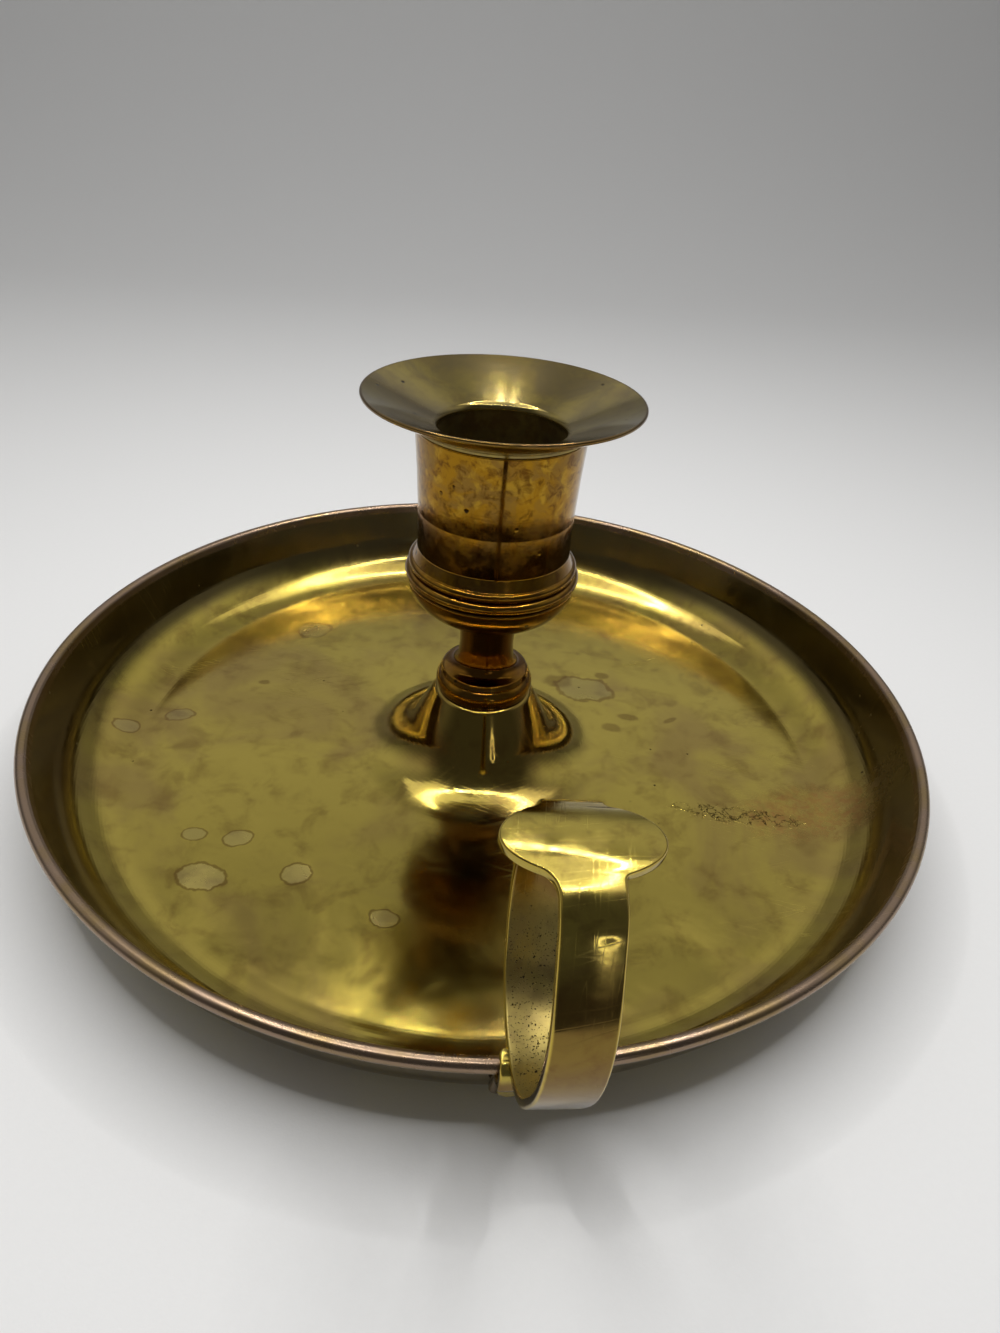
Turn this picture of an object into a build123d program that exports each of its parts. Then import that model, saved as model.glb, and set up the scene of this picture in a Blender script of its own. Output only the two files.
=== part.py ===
from build123d import *

import os
from math import cos, radians, sin, tan

# Chamberstick with finger loop, in brass.
# +Z is up. The origin is on the candle's axis, in the plane of the table. The finger loop is at -Y.
# All lengths are in millimetres and all angles in degrees.

os.makedirs("parts", exist_ok=True)

# Sheet and rim of the spun pan
sheet_t = 0.6
pan_r = 90.0
rim_wire_r = 0.5
rim_wire_gap = 0.05
rim_height = 18.0
rim_roll = 280.0
wall_slope = 75.0
wall_bend_r = 13.3

# Trumpet raised in the middle of the pan
trumpet_h = 16.9
trumpet_top_r = 9.9
trumpet_foot_r = 18.4
trumpet_flare_r = 14.0
trumpet_crown_r = 0.9

# Neck and knop between the trumpet and the cup
stem_h = 18.3
knop_r = 10.1
knop_bead_h = 3.8
knop_groove_depth = 1.1
collar_r = 9.3
collar_h = 0.9
neck_r = 5.6
neck_h = 9.8
stem_top_r = 6.1

# Candle cup
bowl_r = 16.4
bowl_h = 7.8
wide_band_r = 17.0
wide_band_h = 2.6
small_band_r = 16.4
small_band_h = 1.9
band_groove_depth = 0.8
barrel_foot_h = 2.2
barrel_foot_r = 14.75
barrel_r = 14.95
barrel_lip_r = 15.8
barrel_h = 23.4
cup_bore_r = 13.0
cup_floor_t = 5.8
cup_floor_edge_r = 2.0

# Lift-out nozzle
candle_r = 11.5
sleeve_t = 1.2
sleeve_l = 26.0
nozzle_rim_r = 25.3
nozzle_rim_h = 6.1
nozzle_edge_t = 0.8
nozzle_lip_t = 0.5
funnel_root_t = 0.2
throat_round_r = 1.6
nozzle_seat_gap = 0.05

# Rod, washer and nut that hold cup, neck and pan together
stud_r = 2.5
stud_hole_gap = 0.1
stud_end_cover = 1.6
stud_tip = 1.8
stud_chamfer = 0.5
washer_r = 6.5
washer_t = 1.0
nut_flats = 8.0
nut_t = 4.0
nut_chamfer = 0.4

# Finger loop with thumb plate and lug
strap_t = 1.4
strap_w = 7.3
loop_seat_gap = 0.45
loop_lean = 3.1
loop_inset = 0.8
loop_h = 37.4
loop_waist_h = 19.5
loop_waist_r = 17.4
loop_bottom_w = 16.0
loop_top_w = 15.0
loop_bottom_bend = 12.0
loop_waist_bend = 20.0
loop_top_bend = 7.0
plate_w = 18.8
plate_l = 11.2
plate_inset = 1.2
shoulder_soft_r = 3.2
shoulder_sharp_r = 0.8
lug_w = 9.6
lug_gap = 0.15
lug_clear_rim = 0.4
lug_drop = 3.2
lug_under = 3.1
lug_l = 6.2
lug_bend = 1.5
lug_jog = 0.9
lug_corner_r = 1.2

# Rivets through the lug and the pan's wall
rivet_r = 1.0
rivet_gap = 0.1
rivet_pitch = 4.6
rivet_down = 6.1
rivet_head_r = 1.7
rivet_head_h = 0.8
rivet_head_round = 0.5
rivet_head_gap = 0.25

# Shares that shape the neck's curve and the nozzle's edge
cove_share = 0.15
neck_share = 0.05
edge_share = 0.4

# A right angle, in degrees
quarter_turn = 90.0

# One overrun serves every cut that has to run past a face
overrun = 5.0

# Sizes that follow from those above
half_sheet = sheet_t / 2
bead_r = rim_wire_r + rim_wire_gap + sheet_t
bead_centre_r = pan_r - bead_r
rim_top = rim_height + bead_r
roll_r = bead_r - half_sheet
wall_run = cos(radians(wall_slope))
wall_rise = sin(radians(wall_slope))
roll_start = quarter_turn + wall_slope
roll_start_r = bead_centre_r + roll_r * cos(radians(roll_start))
roll_start_z = rim_height + roll_r * sin(radians(roll_start))
wall_base_r = roll_start_r - (roll_start_z - half_sheet) / tan(radians(wall_slope))
hole_r = stud_r + stud_hole_gap
cup_base_z = trumpet_h + stem_h
bowl_top_z = cup_base_z + bowl_h
wide_band_top_z = bowl_top_z + wide_band_h
small_band_top_z = wide_band_top_z + small_band_h
barrel_foot_z = small_band_top_z + barrel_foot_h
cup_top_z = barrel_foot_z + barrel_h
cup_floor_z = cup_base_z + cup_floor_t
sleeve_r = candle_r + sleeve_t
nozzle_seat_z = cup_top_z + nozzle_seat_gap
nozzle_top_z = nozzle_seat_z + nozzle_rim_h
washer_z = trumpet_h - sheet_t - washer_t
nut_z = washer_z - nut_t

# The loop leans about the radial line through the top of the rim
lean_side = Vector(cos(radians(loop_lean)), 0, -sin(radians(loop_lean)))
lean_up = Vector(sin(radians(loop_lean)), 0, cos(radians(loop_lean)))
loop_foot = (0, -bead_centre_r, rim_top + loop_seat_gap)
loop_side = Plane(origin=loop_foot, x_dir=(0, -1, 0), z_dir=-lean_side)
loop_plan = Plane(origin=loop_foot, x_dir=lean_side, z_dir=lean_up)

# The rivets stand square to the pan's wall, in the leaning frame of the loop
rivet_out = rivet_down * wall_run
rivet_fall = rivet_down * wall_rise
rivet_at = loop_side.from_local_coords(
    (roll_start_r - rivet_out - bead_centre_r, roll_start_z - rivet_fall - rim_top - loop_seat_gap, 0)
)
rivet_axis = Vector(0, -wall_rise, 0) - lean_up * wall_run
rivet_plane = Plane(origin=rivet_at, x_dir=lean_side, z_dir=rivet_axis)


def finish(piece, name):
    """Give a finished piece its name and write it out."""
    piece.part.label = name
    export_step(piece.part, f"parts/{name}.step")


def drip_pan():
    """Spun sheet: trumpet, floor, wall and the edge rolled over its wire."""
    with BuildPart() as pan:
        with BuildSketch(Plane.XZ):
            with BuildLine():
                FilletPolyline(
                    (hole_r, trumpet_h - half_sheet),
                    (trumpet_top_r, trumpet_h - half_sheet),
                    (trumpet_foot_r, half_sheet),
                    (wall_base_r, half_sheet),
                    (roll_start_r, roll_start_z),
                    radius=[trumpet_crown_r, trumpet_flare_r, wall_bend_r],
                )
                CenterArc((bead_centre_r, rim_height), roll_r, roll_start, -rim_roll)
            trace(line_width=sheet_t)
        revolve(axis=Axis.Z)
        with BuildSketch(rivet_plane):
            with GridLocations(rivet_pitch, rivet_pitch, 2, 1):
                Circle(rivet_r + rivet_gap)
        extrude(amount=overrun, both=True, mode=Mode.SUBTRACT)
    finish(pan, "drip_pan")


def rim_wire():
    """Round wire inside the rolled edge."""
    with BuildPart() as wire:
        with BuildSketch(Plane.XZ):
            with Locations((bead_centre_r, rim_height)):
                Circle(rim_wire_r)
        revolve(axis=Axis.Z)
    finish(wire, "rim_wire")


def stem_knop():
    """Turned knop with a bead at its foot, a collar and a waisted neck."""
    bead_top_z = trumpet_h + knop_bead_h
    collar_z = bead_top_z + collar_h / 2
    neck_z = trumpet_h + neck_h
    cove_z = collar_z + collar_h
    cove_r = collar_r - collar_h / 2
    with BuildPart() as stem:
        with BuildSketch(Plane.XZ):
            with BuildLine():
                Polyline(
                    (hole_r, cup_base_z),
                    (hole_r, trumpet_h),
                    (knop_r - knop_groove_depth / 2, trumpet_h),
                )
                ThreePointArc(
                    (knop_r - knop_groove_depth / 2, trumpet_h),
                    (knop_r, trumpet_h + knop_bead_h / 2),
                    (knop_r - knop_groove_depth, bead_top_z),
                )
                Polyline(
                    (knop_r - knop_groove_depth, bead_top_z),
                    (collar_r, collar_z),
                    (cove_r, cove_z),
                )
                Spline(
                    (cove_r, cove_z),
                    (neck_r, neck_z),
                    (stem_top_r, cup_base_z),
                    tangents=[(-1, cove_share), (neck_share, 1)],
                )
                Line((stem_top_r, cup_base_z), (hole_r, cup_base_z))
            make_face()
        revolve(axis=Axis.Z)
    finish(stem, "stem_knop")


def candle_cup():
    """Turned cup: round bowl, two beads, a plain barrel with a slight lip, bored for the nozzle."""
    wide_groove_r = bowl_r - band_groove_depth
    small_groove_r = small_band_r - band_groove_depth
    with BuildPart() as cup:
        with BuildSketch(Plane.XZ):
            with BuildLine():
                Line((0, cup_base_z), (stem_top_r, cup_base_z))
                EllipticalCenterArc(
                    (stem_top_r, bowl_top_z),
                    bowl_r - stem_top_r,
                    bowl_h,
                    -quarter_turn,
                    arc_size=quarter_turn,
                )
                Line((bowl_r, bowl_top_z), (wide_groove_r, bowl_top_z + band_groove_depth / 2))
                ThreePointArc(
                    (wide_groove_r, bowl_top_z + band_groove_depth / 2),
                    (wide_band_r, bowl_top_z + wide_band_h / 2),
                    (small_groove_r, wide_band_top_z),
                )
                ThreePointArc(
                    (small_groove_r, wide_band_top_z),
                    (small_band_r, wide_band_top_z + small_band_h / 2),
                    (small_groove_r, small_band_top_z),
                )
                Line((small_groove_r, small_band_top_z), (barrel_foot_r, barrel_foot_z))
                ThreePointArc(
                    (barrel_foot_r, barrel_foot_z),
                    (barrel_r, barrel_foot_z + barrel_h / 2),
                    (barrel_lip_r, cup_top_z),
                )
                Polyline(
                    (barrel_lip_r, cup_top_z),
                    (cup_bore_r, cup_top_z),
                    (cup_bore_r, cup_floor_z + cup_floor_edge_r),
                )
                RadiusArc(
                    (cup_bore_r, cup_floor_z + cup_floor_edge_r),
                    (cup_bore_r - cup_floor_edge_r, cup_floor_z),
                    cup_floor_edge_r,
                )
                Polyline((cup_bore_r - cup_floor_edge_r, cup_floor_z), (0, cup_floor_z), (0, cup_base_z))
            make_face()
        revolve(axis=Axis.Z)
        with BuildSketch(Plane.XY.offset(cup_base_z)):
            Circle(hole_r)
        extrude(amount=cup_floor_t - stud_end_cover, mode=Mode.SUBTRACT)
    finish(cup, "candle_cup")


def nozzle():
    """Loose nozzle: flared rim with a shallow funnel, and a sleeve that slides in the cup."""
    lip_r = barrel_lip_r
    lip_z = nozzle_seat_z + nozzle_lip_t
    with BuildPart() as loose:
        with BuildSketch(Plane.XZ) as section:
            with BuildLine():
                Polyline(
                    (candle_r, nozzle_seat_z - sleeve_l),
                    (sleeve_r, nozzle_seat_z - sleeve_l),
                    (sleeve_r, nozzle_seat_z),
                    (lip_r, nozzle_seat_z),
                    (lip_r, lip_z),
                    (nozzle_rim_r, nozzle_top_z - nozzle_edge_t),
                    (nozzle_rim_r, nozzle_top_z),
                    (candle_r, nozzle_seat_z + funnel_root_t),
                    close=True,
                )
            make_face()
            throat = section.vertices().group_by(Axis.X)[0].sort_by(Axis.Y)[-1]
            fillet(throat, radius=throat_round_r)
            edge = section.vertices().group_by(Axis.X)[-1]
            fillet(edge, radius=nozzle_edge_t * edge_share)
        revolve(axis=Axis.Z)
    finish(loose, "nozzle")


def tie_stud():
    """Rod from the cup down through the knop and the trumpet."""
    top_z = cup_floor_z - stud_end_cover - stud_hole_gap
    length = top_z - nut_z + stud_tip
    with BuildPart() as stud:
        with BuildSketch(Plane.XY.offset(nut_z - stud_tip)):
            Circle(stud_r)
        extrude(amount=length)
        chamfer(stud.edges().filter_by(GeomType.CIRCLE), length=stud_chamfer)
    finish(stud, "tie_stud")


def stem_washer():
    """Plain washer under the trumpet."""
    with BuildPart() as washer:
        with BuildSketch(Plane.XY.offset(washer_z)):
            Circle(washer_r)
            Circle(hole_r, mode=Mode.SUBTRACT)
        extrude(amount=washer_t)
    finish(washer, "stem_washer")


def stem_nut():
    """Hexagon nut below the washer."""
    with BuildPart() as nut:
        with BuildSketch(Plane.XY.offset(nut_z)):
            RegularPolygon(nut_flats / 2, 6, major_radius=False)
        extrude(amount=nut_t)
        chamfer(nut.edges().filter_by(Axis.Z, reverse=True), length=nut_chamfer)
        with BuildSketch(Plane.XY.offset(nut_z)):
            Circle(stud_r + stud_hole_gap)
        extrude(amount=nut_t, mode=Mode.SUBTRACT)
    finish(nut, "stem_nut")


def wall_point(down):
    """Place on the lug's middle line, this far down the wall from the rolled edge, in the loop's plane."""
    away = half_sheet + lug_gap + strap_t / 2
    out = roll_start_r - down * wall_run + away * wall_rise - bead_centre_r
    up = roll_start_z - down * wall_rise - away * wall_run - rim_top - loop_seat_gap
    return (out, up)


def handle_loop():
    """Strap bent to a finger ring, widened to an oval thumb plate, with a lug down the pan's wall."""
    foot_z = strap_t / 2
    half_top = loop_top_w / 2
    half_bottom = loop_bottom_w / 2
    lug_start = -loop_inset
    lug_out = bead_r + lug_clear_rim + strap_t / 2
    lug_top = wall_point(lug_under)
    lug_end = wall_point(lug_under + lug_l)
    with BuildPart() as outline:
        with BuildSketch(loop_plan):
            Rectangle(strap_w, 2 * pan_r)
        extrude(amount=2 * loop_h, both=True)
        with BuildSketch(loop_plan.offset(loop_waist_h)) as plan:
            Rectangle(strap_w, 2 * pan_r)
            with Locations((0, plate_inset)):
                Ellipse(plate_w / 2, plate_l / 2)
            corners = plan.vertices().filter_by_position(Axis.Y, -plate_l, plate_l).sort_by(Axis.X)
            fillet(corners[:2], radius=shoulder_soft_r)
            fillet(corners[2:], radius=shoulder_sharp_r)
        extrude(amount=2 * loop_h)
    with BuildPart() as loop:
        with BuildSketch(loop_side):
            with BuildLine():
                FilletPolyline(
                    (half_bottom - loop_inset, foot_z),
                    (loop_waist_r - loop_inset, loop_waist_h),
                    (half_top - loop_inset, foot_z + loop_h),
                    (-half_top - loop_inset, foot_z + loop_h),
                    (-loop_waist_r - loop_inset, loop_waist_h),
                    (-half_bottom - loop_inset, foot_z),
                    radius=[
                        loop_bottom_bend,
                        loop_waist_bend,
                        loop_top_bend,
                        loop_top_bend,
                        loop_waist_bend,
                        loop_bottom_bend,
                    ],
                    close=True,
                )
            trace(line_width=strap_t)
        extrude(amount=plate_w / 2, both=True)
        add(outline.part, mode=Mode.INTERSECT)
        with BuildSketch(loop_side):
            with BuildLine():
                FilletPolyline(
                    (lug_start, foot_z),
                    (lug_out, foot_z),
                    (lug_out, -lug_drop),
                    lug_top,
                    lug_end,
                    radius=[lug_bend, lug_jog, lug_jog],
                )
            trace(line_width=strap_t)
        extrude(amount=lug_w / 2, both=True)
        along_rivet = Axis(origin=rivet_at, direction=rivet_axis)
        fillet(loop.edges().filter_by(along_rivet).sort_by(Axis.Z)[:2], radius=lug_corner_r)
        with BuildSketch(rivet_plane):
            with GridLocations(rivet_pitch, rivet_pitch, 2, 1):
                Circle(rivet_r + rivet_gap)
        extrude(amount=overrun, both=True, mode=Mode.SUBTRACT)
    finish(loop, "handle_loop")


def handle_rivets():
    """Two small rivets with low round heads, through the lug and the pan's wall."""
    inner_face = half_sheet + rivet_head_gap
    outer_face = half_sheet + lug_gap + strap_t + rivet_gap
    with BuildPart() as rivets:
        with BuildSketch(rivet_plane.offset(-inner_face - rivet_head_h / 2)):
            with GridLocations(rivet_pitch, rivet_pitch, 2, 1):
                Circle(rivet_r)
        extrude(amount=inner_face + outer_face + rivet_head_h)
        with BuildSketch(rivet_plane.offset(outer_face)):
            with GridLocations(rivet_pitch, rivet_pitch, 2, 1):
                Circle(rivet_head_r)
        extrude(amount=rivet_head_h)
        with BuildSketch(rivet_plane.offset(-inner_face)):
            with GridLocations(rivet_pitch, rivet_pitch, 2, 1):
                Circle(rivet_head_r)
        extrude(amount=-rivet_head_h)
        along = Axis(origin=rivet_at, direction=rivet_axis)
        rims = rivets.edges().filter_by(GeomType.CIRCLE).sort_by(along)
        fillet(rims[:2] + rims[-2:], radius=rivet_head_round)
    finish(rivets, "handle_rivets")


drip_pan()
rim_wire()
stem_knop()
candle_cup()
nozzle()
tie_stud()
stem_washer()
stem_nut()
handle_loop()
handle_rivets()
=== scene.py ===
from functools import partialmethod, reduce
from itertools import accumulate
from math import atan2, ceil, cos, hypot, pi, radians, sin, sqrt, tan
from operator import or_

import bmesh
import bpy
from bpy.props import FloatProperty, FloatVectorProperty, IntProperty, PointerProperty
from mathutils import Matrix, Vector, noise
from mathutils.geometry import interpolate_bezier


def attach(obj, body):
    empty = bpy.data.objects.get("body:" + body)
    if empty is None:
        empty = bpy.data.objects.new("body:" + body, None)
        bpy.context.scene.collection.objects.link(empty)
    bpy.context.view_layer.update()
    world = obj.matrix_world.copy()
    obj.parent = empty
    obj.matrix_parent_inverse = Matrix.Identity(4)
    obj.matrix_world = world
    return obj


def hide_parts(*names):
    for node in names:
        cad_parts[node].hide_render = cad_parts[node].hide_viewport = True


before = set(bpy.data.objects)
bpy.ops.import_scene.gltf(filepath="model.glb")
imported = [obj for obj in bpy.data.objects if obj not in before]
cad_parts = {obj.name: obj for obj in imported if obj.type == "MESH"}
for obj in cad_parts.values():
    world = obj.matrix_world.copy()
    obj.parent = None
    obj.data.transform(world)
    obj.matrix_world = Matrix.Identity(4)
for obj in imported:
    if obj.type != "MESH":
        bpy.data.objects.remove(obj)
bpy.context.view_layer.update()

bl_info = {
    "name": "Chamberstick with finger loop",
    "version": (1, 0, 0),
    "blender": (4, 5, 0),
    "location": "3D Viewport > Sidebar > Chamberstick",
    "description": "Builds an old brass chamberstick on its stage, piece by piece",
    "category": "Add Mesh",
}

# Lengths are in metres and angles in radians. +Z is up, the candle stands on the Z axis, the loop is at -Y.

# How finely outlines are cut: the turn of one step of an arc, the longest straight step, and the
# distance from a corner at which a flat face gets an extra edge, so that it keeps shading flat
arc_step = radians(3)
longest_step = 0.002
guard = 0.00015

# Points that are closer than this count as one
same_place = guard / 100

micron = 0.000001
millimetre = 0.001

# Steps around the turned pieces, and radii of their small bends
knop_steps, cup_steps, nozzle_steps = 128, 192, 224
crisp, soft = 0.0001, 0.0002


def length(name, default, description):
    """A property for one size."""
    return FloatProperty(name=name, default=default, description=description, unit="LENGTH", precision=5)


def angle(name, degrees, description):
    """A property for one angle."""
    return FloatProperty(name=name, default=radians(degrees), description=description, subtype="ANGLE")


def colour(name, default, description):
    """A property for one colour."""
    return FloatVectorProperty(name=name, default=default, description=description, subtype="COLOR", min=0, max=1)


def amount(name, default, description, highest=1.0):
    """A property for a plain number."""
    return FloatProperty(name=name, default=default, description=description, min=0, max=highest)


class PanSizes(bpy.types.PropertyGroup):
    """Sizes of the spun drip pan."""

    rim: length("Rim radius", 0.09, "From the candle's axis to the outside of the rim")
    sheet: length("Sheet", 0.0006, "Thickness of the spun sheet")
    wire: length("Wire radius", 0.0005, "Radius of the wire inside the rolled edge")
    wire_gap: length("Wire gap", 0.00005, "Room around the wire")
    rim_height: length("Rim height", 0.018, "From the table to the middle of the rolled edge")
    rim_roll: angle("Rim roll", 280, "How far the edge is rolled over its wire")
    wall_slope: angle("Wall slope", 75, "Slope of the wall from the table")
    wall_bend: length("Wall bend", 0.0133, "Radius of the bend between floor and wall")
    trumpet_height: length("Trumpet height", 0.0169, "Height of the raised middle")
    trumpet_top: length("Trumpet top", 0.0099, "Radius of the flat top of the raised middle")
    trumpet_foot: length("Trumpet foot", 0.0184, "Radius at which the raised middle meets the floor")
    trumpet_flare: length("Trumpet flare", 0.014, "Radius of the curve at the foot of the raised middle")
    trumpet_crown: length("Trumpet crown", 0.0009, "Radius of the bend at the top of the raised middle")
    hole: length("Hole", 0.0026, "Radius of the hole for the rod")
    waves: length("Waves", 0.00006, "Height of the slow waves left in the sheet")
    segments: IntProperty(name="Segments", default=360, description="Steps around the pan", min=24)


class StemSizes(bpy.types.PropertyGroup):
    """Sizes of the turned neck and knop."""

    height: length("Height", 0.0183, "From the trumpet to the cup")
    knop: length("Knop radius", 0.0101, "Radius of the widest bead")
    knop_height: length("Knop height", 0.0038, "Height of the widest bead")
    groove: length("Groove", 0.0011, "Depth of the groove above the bead")
    collar: length("Collar radius", 0.0093, "Radius of the collar above the groove")
    collar_height: length("Collar height", 0.0009, "Height of the collar")
    neck: length("Neck radius", 0.0056, "Radius at the waist")
    neck_height: length("Neck height", 0.0098, "Height of the waist above the trumpet")
    top: length("Top radius", 0.0061, "Radius where the neck meets the cup")


class CupSizes(bpy.types.PropertyGroup):
    """Sizes of the turned candle cup."""

    bowl: length("Bowl radius", 0.0164, "Radius of the bowl at its top")
    bowl_height: length("Bowl height", 0.0078, "Height of the round bowl")
    wide_band: length("Wide band radius", 0.017, "Radius of the lower bead")
    wide_band_height: length("Wide band height", 0.0026, "Height of the lower bead")
    small_band: length("Small band radius", 0.0164, "Radius of the upper bead")
    small_band_height: length("Small band height", 0.0019, "Height of the upper bead")
    band_groove: length("Groove", 0.0008, "Depth of the grooves beside the beads")
    foot_height: length("Foot height", 0.0022, "Height of the slope below the barrel")
    foot: length("Foot radius", 0.01475, "Radius at the foot of the barrel")
    barrel: length("Barrel radius", 0.01495, "Radius at half the barrel's height")
    lip: length("Lip radius", 0.0158, "Radius at the top of the barrel")
    barrel_height: length("Barrel height", 0.0234, "Height of the barrel")
    bore: length("Bore", 0.013, "Radius of the bore for the nozzle")
    floor: length("Floor", 0.0058, "Height of the bore's floor above the cup's base")
    floor_round: length("Floor round", 0.002, "Radius at the edge of the bore's floor")
    end_cover: length("End cover", 0.0016, "Metal between the rod's hole and the bore's floor")


class NozzleSizes(bpy.types.PropertyGroup):
    """Sizes of the lift-out nozzle."""

    candle: length("Candle radius", 0.0115, "Radius of the bore for the candle")
    sleeve: length("Sleeve", 0.0012, "Thickness of the sleeve")
    sleeve_length: length("Sleeve length", 0.026, "How far the sleeve goes down into the cup")
    rim: length("Rim radius", 0.0253, "Radius of the flared rim")
    rim_height: length("Rim height", 0.0061, "Height of the flared rim above the cup")
    edge: length("Edge", 0.0008, "Thickness of the rim at its edge")
    lip: length("Lip", 0.0005, "Height of the step that sits on the cup")
    root: length("Root", 0.0002, "Height of the funnel's foot above the cup")
    throat: length("Throat", 0.0016, "Radius of the round edge at the throat")
    seat_gap: length("Seat gap", 0.00005, "Room between the nozzle and the cup")


class LoopSizes(bpy.types.PropertyGroup):
    """Sizes of the finger loop with its thumb plate and lug."""

    strap: length("Strap", 0.0014, "Thickness of the strap")
    width: length("Width", 0.0073, "Width of the strap")
    seat_gap: length("Seat gap", 0.00045, "Room between the loop and the rim")
    lean: angle("Lean", 3.1, "How far the loop leans to the right")
    inset: length("Inset", 0.0008, "How far the loop's middle is moved towards the candle")
    height: length("Height", 0.0374, "Height of the loop between the middles of the strap")
    waist_height: length("Waist height", 0.0195, "Height of the widest place")
    waist: length("Waist", 0.0174, "Half the loop's length at its widest place")
    bottom: length("Bottom", 0.016, "Length of the straight bottom, corner to corner")
    top: length("Top", 0.015, "Length of the straight top, corner to corner")
    bottom_bend: length("Bottom bend", 0.012, "Radius of the bends at the bottom")
    waist_bend: length("Waist bend", 0.02, "Radius of the bends at the widest place")
    top_bend: length("Top bend", 0.007, "Radius of the bends at the top")
    plate: length("Plate width", 0.0188, "Width of the oval thumb plate")
    plate_length: length("Plate length", 0.0112, "Length of the thumb plate along the strap")
    plate_inset: length("Plate inset", 0.0012, "How far the plate's middle is moved towards the candle")
    soft: length("Soft shoulder", 0.0032, "Radius of the plate's shoulders on the left")
    sharp: length("Sharp shoulder", 0.0008, "Radius of the plate's shoulders on the right")
    edge: length("Edge", 0.0004, "Radius of the worn edges of the strap")
    lug_width: length("Lug width", 0.0096, "Width of the lug under the rim")
    lug_thinner: length("Lug thinner", 0.0001, "How much thinner the lug is than the strap")
    lug_gap: length("Lug gap", 0.00015, "Room between the lug and the pan's wall")
    lug_clear: length("Lug clearance", 0.0004, "Room between the lug and the rim")
    lug_drop: length("Lug drop", 0.0032, "How far the lug runs straight down beside the rim")
    lug_under: length("Lug under", 0.0031, "Distance down the wall at which the lug meets it")
    lug_length: length("Lug length", 0.0062, "Length of the lug along the wall")
    lug_bend: length("Lug bend", 0.0015, "Radius of the bend over the rim")
    lug_jog: length("Lug jog", 0.0009, "Radius of the two bends under the rim")
    lug_corner: length("Lug corner", 0.0012, "Radius of the lug's lower corners")


class BrassColours(bpy.types.PropertyGroup):
    """Colours and wear of the old brass and iron, with the colours that are also laid on as painted shade."""

    olive: colour("Olive", (0.44, 0.342, 0.07), "Polished old brass")
    gold: colour("Gold", (0.57, 0.395, 0.065), "Brass where it is rubbed bright")
    amber: colour("Amber", (0.42, 0.25, 0.025), "Golden brown of the turned pieces")
    brown: colour("Brown", (0.29, 0.195, 0.065), "Brass with a brown bloom")
    # Besides real patina, umber is laid on as painted shade: low on the turned pieces, on their neck, around the
    # stem's foot, on the top of the loop's inner face, half way up its outer face and on the lug
    umber: colour("Umber", (0.13, 0.062, 0.018), "Deep brown patina")
    copper: colour("Copper", (0.29, 0.2, 0.15), "Dull coppery tone of the rolled rim")
    film: colour("Film", (0.35, 0.3, 0.18), "Dull grey film")
    # On the pan's wall this colour is laid on as painted shade; in the funnel and low inside the loop it is a dull
    # film
    dark_film_and_shade: colour("Dusk", (0.19, 0.145, 0.065), "Dark grey-brown film of the funnel and the pan's wall")
    warm: colour("Warm", (0.92, 0.8, 0.45), "Warm tint over the turned pieces")
    crust: colour("Crust", (0.02, 0.012, 0.006), "Black crust and pits")
    rust: colour("Rust", (0.2, 0.075, 0.03), "Rust on the iron")
    iron: colour("Iron", (0.2, 0.18, 0.16), "Dull iron")
    polish: amount("Polish", 0.09, "Roughness of the cleanest brass")
    wear: amount("Wear", 0.7, "How strongly stains and spots show")


class StageSettings(bpy.types.PropertyGroup):
    """Floor, backdrop and light."""

    paper: colour("Paper", (0.78, 0.775, 0.765), "Colour of the floor and the backdrop")
    lamp: amount("Lamp", 1.15, "Brightness of the large lamp above", 20)
    ring: amount("Ring", 126.0, "Brightness of the small lamps in the ring above", 500)
    glint: amount("Glint", 8.0, "Brightness of the small ring lamp in front", 50)
    front: amount("Front", 0.09, "Brightness of the room in front")
    back: amount("Back", 0.62, "Brightness of the room half way up, behind and at the sides")
    top: amount("Top", 0.6, "Share of that brightness that is left above")
    low: amount("Low", 0.2, "Brightness of the room low behind and at the sides")
    lens: FloatProperty(name="Lens", default=24.3, description="Focal length of the camera", unit="CAMERA")


class Chamberstick(bpy.types.PropertyGroup):
    """All the settings of the chamberstick."""

    pan: PointerProperty(type=PanSizes)
    stem: PointerProperty(type=StemSizes)
    cup: PointerProperty(type=CupSizes)
    nozzle: PointerProperty(type=NozzleSizes)
    loop: PointerProperty(type=LoopSizes)
    brass: PointerProperty(type=BrassColours)
    stage: PointerProperty(type=StageSettings)


def settings():
    """The chamberstick's settings in this file."""
    return bpy.context.scene.chamberstick


# Outlines: lists of (across, up) points


def arc(centre, radius, start, sweep):
    """Points along an arc of a circle."""
    steps = max(3, ceil(abs(sweep) / arc_step))
    turns = [start + sweep * step / steps for step in range(steps + 1)]
    return [Vector((centre[0] + radius * cos(turn), centre[1] + radius * sin(turn))) for turn in turns]


def arc_through(first, middle, last):
    """Points along the arc of a circle through three points."""
    a, b, c = Vector(first), Vector(middle), Vector(last)
    twice = 2 * (a.x * (b.y - c.y) + b.x * (c.y - a.y) + c.x * (a.y - b.y))
    squares = (a.length_squared, b.length_squared, c.length_squared)
    across = squares[0] * (b.y - c.y) + squares[1] * (c.y - a.y) + squares[2] * (a.y - b.y)
    up = squares[0] * (c.x - b.x) + squares[1] * (a.x - c.x) + squares[2] * (b.x - a.x)
    centre = Vector((across, up)) / twice
    start = atan2(a.y - centre.y, a.x - centre.x)
    to_middle = turn_between(a - centre, b - centre)
    return arc(centre, (a - centre).length, start, to_middle + turn_between(b - centre, c - centre))


def turn_between(one, other):
    """Signed angle from one direction to another, less than half a turn."""
    turn = atan2(other.y, other.x) - atan2(one.y, one.x)
    return (turn + pi) % (2 * pi) - pi


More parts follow.
